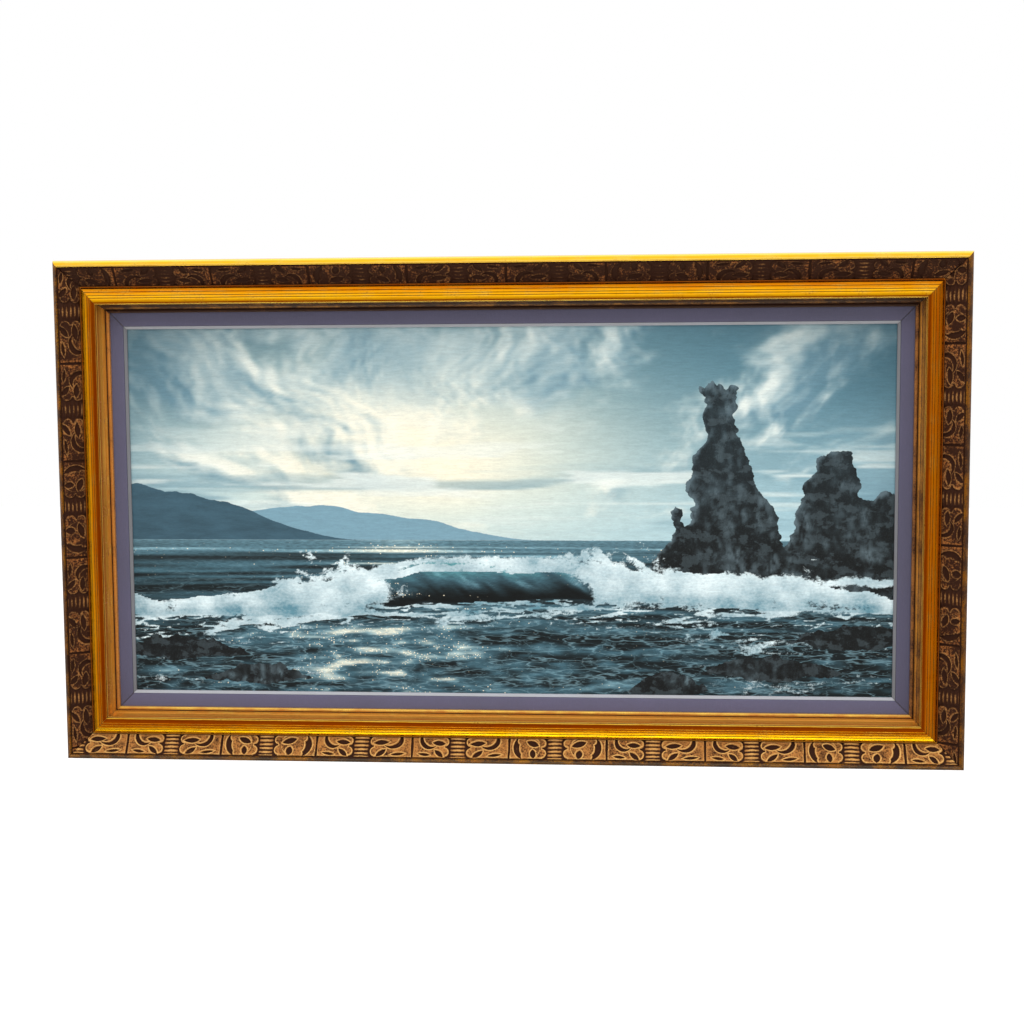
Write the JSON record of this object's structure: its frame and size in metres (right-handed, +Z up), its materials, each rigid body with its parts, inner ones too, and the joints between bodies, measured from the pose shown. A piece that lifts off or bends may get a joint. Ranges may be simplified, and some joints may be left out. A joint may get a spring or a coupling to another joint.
{
  "type": "framed seascape painting",
  "caption": "Wide seascape on stretched canvas with a flat grey liner, in a deep carved and gilded wooden frame, made to hang flat against a wall.",
  "frame": {"origin": "middle of the top rail's flat back, where the frame lies against a wall", "axes": "+Z up, +X to the viewer's right along the frame's width, the picture faces -Y and the flat back faces +Y in the plane y = 0"},
  "size_m": [1.4144, 0.0721, 0.7924],
  "materials": {
    "gilt": "carved wood and composition, gilded, toned with dark umber in its recesses and rubbed bright on its edges",
    "liner_cloth": "flat wooden liner, painted matt grey-lilac, with a pale bevel at its sight edge",
    "paint": "oil paint on primed canvas, with brush marks and a satin varnish",
    "pine": "raw planed pine",
    "steel": "thin bright steel strip"
  },
  "bodies": {
    "root": {"frame_top_rail": "gilt", "frame_right_rail": "gilt", "frame_bottom_rail": "gilt", "frame_left_rail": "gilt", "liner_top_rail": "liner_cloth", "liner_right_rail": "liner_cloth", "liner_bottom_rail": "liner_cloth", "liner_left_rail": "liner_cloth", "painted_canvas": "paint", "stretcher_top_bar": "pine", "stretcher_right_bar": "pine", "stretcher_bottom_bar": "pine", "stretcher_left_bar": "pine", "stretcher_cross_bar": "pine", "framing_point_1": "steel", "framing_point_2": "steel", "framing_point_3": "steel", "framing_point_4": "steel", "framing_point_5": "steel", "framing_point_6": "steel", "framing_point_7": "steel", "framing_point_8": "steel", "framing_point_9": "steel", "framing_point_10": "steel"}
  },
  "joints": []
}
